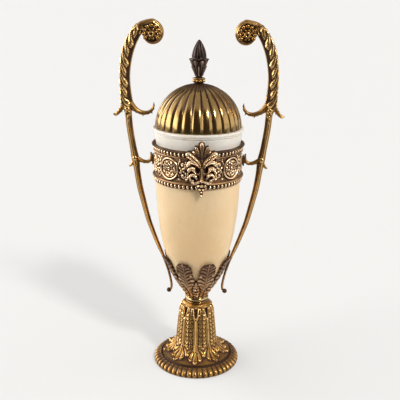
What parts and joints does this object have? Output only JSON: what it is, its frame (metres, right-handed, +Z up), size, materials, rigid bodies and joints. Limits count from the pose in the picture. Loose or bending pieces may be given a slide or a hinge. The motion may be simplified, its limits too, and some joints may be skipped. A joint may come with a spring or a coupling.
{
  "type": "mantel urn",
  "caption": "Tall footed mantel urn: stone vessel in gilt brass mounts, ribbed dome lid with bud finial, high scroll handles at the sides.",
  "frame": {"origin": "centre of the foot's flat underside", "axes": "+Z up the axis of the urn; the handles lie along +X and -X; the mask on the collar looks along -Y"},
  "size_m": [0.2152, 0.1322, 0.4561],
  "materials": {
    "antique_gilt": "old gilt brass, golden on the raised carving and dark brown in the recesses",
    "polished_brass": "bright polished brass with a thin brown tarnish in the grooves",
    "rosy_gilt": "pale rosy gilt with dark brown recesses",
    "brown_bronze": "brown patinated brass, rubbed lighter on the veins",
    "black_bronze": "near-black brown patina, satin",
    "alabaster": "honey-cream alabaster, white above the collar, softly polished"
  },
  "bodies": {
    "root": {"foot": "antique_gilt", "neck_ring": "polished_brass", "calyx": "brown_bronze", "vessel": "alabaster", "collar": "rosy_gilt", "mask_front": "rosy_gilt", "mask_back": "rosy_gilt", "lid": "polished_brass", "bead_ring": "antique_gilt", "finial": "black_bronze", "handle_right": "antique_gilt", "handle_left": "antique_gilt"}
  },
  "joints": []
}
